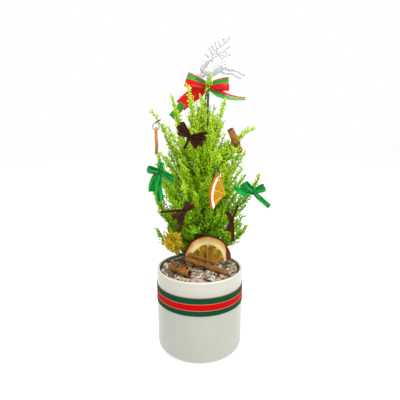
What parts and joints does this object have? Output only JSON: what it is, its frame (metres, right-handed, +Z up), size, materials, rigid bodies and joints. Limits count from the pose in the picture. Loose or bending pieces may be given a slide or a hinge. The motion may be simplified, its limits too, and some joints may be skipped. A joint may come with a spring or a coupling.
{
  "type": "artificial tabletop tree",
  "caption": "Tabletop artificial evergreen in a round banded pot of gravel, hung with bows, orange slices and cinnamon sticks, with a clear reindeer topper on a stake.",
  "frame": {"origin": "centre of the pot's flat underside", "axes": "+Z up along the pot, -Y towards the front, where the slice and the sticks lie on the gravel"},
  "size_m": [0.1605, 0.1346, 0.423],
  "materials": {
    "bough_high_front": "matte",
    "bough_high_front_right": "matte",
    "bough_high_left": "matte",
    "bough_high_left_back": "matte",
    "bough_high_right": "matte",
    "bough_high_right_back": "matte",
    "bough_high_right_front": "matte",
    "bough_low_back": "matte",
    "bough_low_front": "matte",
    "bough_low_front_right": "matte",
    "bough_low_left": "matte",
    "bough_low_left_back": "matte",
    "bough_low_right": "matte",
    "bough_low_right_back": "matte",
    "bough_mid_back": "matte",
    "bough_mid_front": "matte",
    "bough_mid_front_right": "matte",
    "bough_mid_left": "matte",
    "bough_mid_left_back": "matte",
    "bough_mid_left_front": "matte",
    "bough_mid_right": "matte",
    "bough_mid_right_back": "matte",
    "bough_top_back": "matte",
    "bough_top_left": "matte",
    "bough_top_left_outer": "matte",
    "bough_top_right": "matte",
    "brown_bow_middle": "satin",
    "brown_bow_middle_tie": "satin",
    "brown_bow_right": "satin",
    "brown_bow_right_tie": "satin",
    "brown_bow_upper": "satin",
    "brown_bow_upper_tie": "satin",
    "cinnamon_hung": "matte",
    "cinnamon_hung_tie": "satin",
    "cinnamon_long_back": "matte",
    "cinnamon_long_front": "matte",
    "cinnamon_long_tie": "satin",
    "cinnamon_short_back": "matte",
    "cinnamon_short_front": "matte",
    "cinnamon_short_tie": "satin",
    "foam_core": "matte",
    "gravel_bed": "matte",
    "green_bow_left": "satin",
    "green_bow_left_tie": "satin",
    "green_bow_right": "satin",
    "green_bow_right_tie": "satin",
    "leader_shoot": "matte",
    "orange_slice_base": "matte",
    "orange_slice_front": "matte",
    "orange_slice_front_hook": "satin",
    "orange_slice_left": "matte",
    "orange_slice_left_hook": "satin",
    "pot": "satin",
    "pot_ribbon_band": "matte",
    "reindeer": "gloss",
    "top_bow": "satin",
    "top_bow_tie": "satin",
    "topper_stake": "satin",
    "trunk": "matte",
    "yellow_sprig": "matte"
  },
  "bodies": {
    "tree": {"bough_high_left_back": "bough_high_left_back", "bough_high_right_back": "bough_high_right_back", "bough_high_right_front": "bough_high_right_front", "bough_low_back": "bough_low_back", "bough_low_front": "bough_low_front", "bough_low_front_right": "bough_low_front_right", "bough_low_left": "bough_low_left", "bough_low_left_back": "bough_low_left_back", "bough_low_right": "bough_low_right", "bough_low_right_back": "bough_low_right_back", "bough_mid_back": "bough_mid_back", "bough_mid_left": "bough_mid_left", "bough_mid_left_back": "bough_mid_left_back", "bough_mid_right_back": "bough_mid_right_back", "bough_top_back": "bough_top_back", "bough_top_left": "bough_top_left", "bough_top_left_outer": "bough_top_left_outer", "bough_top_right": "bough_top_right", "cinnamon_long_back": "cinnamon_long_back", "cinnamon_long_front": "cinnamon_long_front", "cinnamon_long_tie": "cinnamon_long_tie", "cinnamon_short_back": "cinnamon_short_back", "cinnamon_short_front": "cinnamon_short_front", "cinnamon_short_tie": "cinnamon_short_tie", "foam_core": "foam_core", "gravel_bed": "gravel_bed", "leader_shoot": "leader_shoot", "orange_slice_base": "orange_slice_base", "pot": "pot", "pot_ribbon_band": "pot_ribbon_band", "top_bow": "top_bow", "top_bow_tie": "top_bow_tie", "trunk": "trunk", "yellow_sprig": "yellow_sprig"},
    "stake": {"topper_stake": "topper_stake"},
    "topper": {"reindeer": "reindeer"},
    "bough_mid_right_arm": {"bough_mid_right": "bough_mid_right", "green_bow_right": "green_bow_right", "green_bow_right_tie": "green_bow_right_tie"},
    "bough_mid_left_front_arm": {"bough_mid_left_front": "bough_mid_left_front", "green_bow_left": "green_bow_left", "green_bow_left_tie": "green_bow_left_tie"},
    "bough_mid_front_arm": {"bough_mid_front": "bough_mid_front", "brown_bow_middle": "brown_bow_middle", "brown_bow_middle_tie": "brown_bow_middle_tie"},
    "bough_mid_front_right_arm": {"bough_mid_front_right": "bough_mid_front_right", "brown_bow_right": "brown_bow_right", "brown_bow_right_tie": "brown_bow_right_tie"},
    "bough_high_front_right_arm": {"bough_high_front_right": "bough_high_front_right", "orange_slice_front_hook": "orange_slice_front_hook"},
    "bough_high_left_arm": {"bough_high_left": "bough_high_left", "orange_slice_left_hook": "orange_slice_left_hook"},
    "bough_high_right_arm": {"bough_high_right": "bough_high_right", "cinnamon_hung": "cinnamon_hung", "cinnamon_hung_tie": "cinnamon_hung_tie"},
    "bough_high_front_arm": {"bough_high_front": "bough_high_front", "brown_bow_upper": "brown_bow_upper", "brown_bow_upper_tie": "brown_bow_upper_tie"},
    "front_slice": {"orange_slice_front": "orange_slice_front"},
    "left_slice": {"orange_slice_left": "orange_slice_left"}
  },
  "joints": [
    {"name": "stake_pull", "type": "slide", "parent": "tree", "child": "stake", "axis": [0.0396, -0.0714, 0.9967], "range_m": [0, 0.1]},
    {"name": "topper_turn", "type": "hinge", "parent": "stake", "child": "topper", "pos_m": [0.0121, 0.0004, 0.3745], "axis": [0.0396, -0.0714, 0.9967], "range_deg": [-60, 60]},
    {"name": "bend_mid_right", "type": "hinge", "parent": "tree", "child": "bough_mid_right_arm", "pos_m": [0.00308, 0.0093, 0.174], "axis": [-0.3755, -0.9268, 0], "range_deg": [-12, 12]},
    {"name": "bend_mid_left_front", "type": "hinge", "parent": "tree", "child": "bough_mid_left_front_arm", "pos_m": [-0.00617, 0.00896, 0.16], "axis": [-0.6072, 0.7946, 0], "range_deg": [-12, 8]},
    {"name": "bend_mid_front", "type": "hinge", "parent": "tree", "child": "bough_mid_front_arm", "pos_m": [-0.00243, 0.00606, 0.182], "axis": [-0.9549, 0.2971, 0], "range_deg": [-8, 10]},
    {"name": "bend_mid_front_right", "type": "hinge", "parent": "tree", "child": "bough_mid_front_right_arm", "pos_m": [0.00268, 0.00651, 0.192], "axis": [-0.7456, -0.6664, 0], "range_deg": [-10, 12]},
    {"name": "bend_high_front_right", "type": "hinge", "parent": "tree", "child": "bough_high_front_right_arm", "pos_m": [0.00079, 0.0059, 0.186], "axis": [-0.9439, -0.3303, 0], "range_deg": [-12, 8]},
    {"name": "bend_high_left", "type": "hinge", "parent": "tree", "child": "bough_high_left_arm", "pos_m": [-0.00443, 0.00789, 0.198], "axis": [-0.379, 0.9254, 0], "range_deg": [-12, 0]},
    {"name": "bend_high_right", "type": "hinge", "parent": "tree", "child": "bough_high_right_arm", "pos_m": [0.00427, 0.00776, 0.2], "axis": [-0.3806, -0.9247, 0], "range_deg": [-12, 0]},
    {"name": "bend_high_front", "type": "hinge", "parent": "tree", "child": "bough_high_front_arm", "pos_m": [-0.00074, 0.0044, 0.214], "axis": [-0.9445, 0.3284, 0], "range_deg": [-12, 0]},
    {"name": "front_slice_swing", "type": "hinge", "parent": "bough_high_front_right_arm", "child": "front_slice", "pos_m": [0.02059, -0.05222, 0.25001], "axis": [0.769, -0.6392, 0], "range_deg": [-20, 20]},
    {"name": "left_slice_swing", "type": "hinge", "parent": "bough_high_left_arm", "child": "left_slice", "pos_m": [-0.05582, -0.01321, 0.30812], "axis": [0.993, 0.118, 0], "range_deg": [-20, 20]}
  ]
}
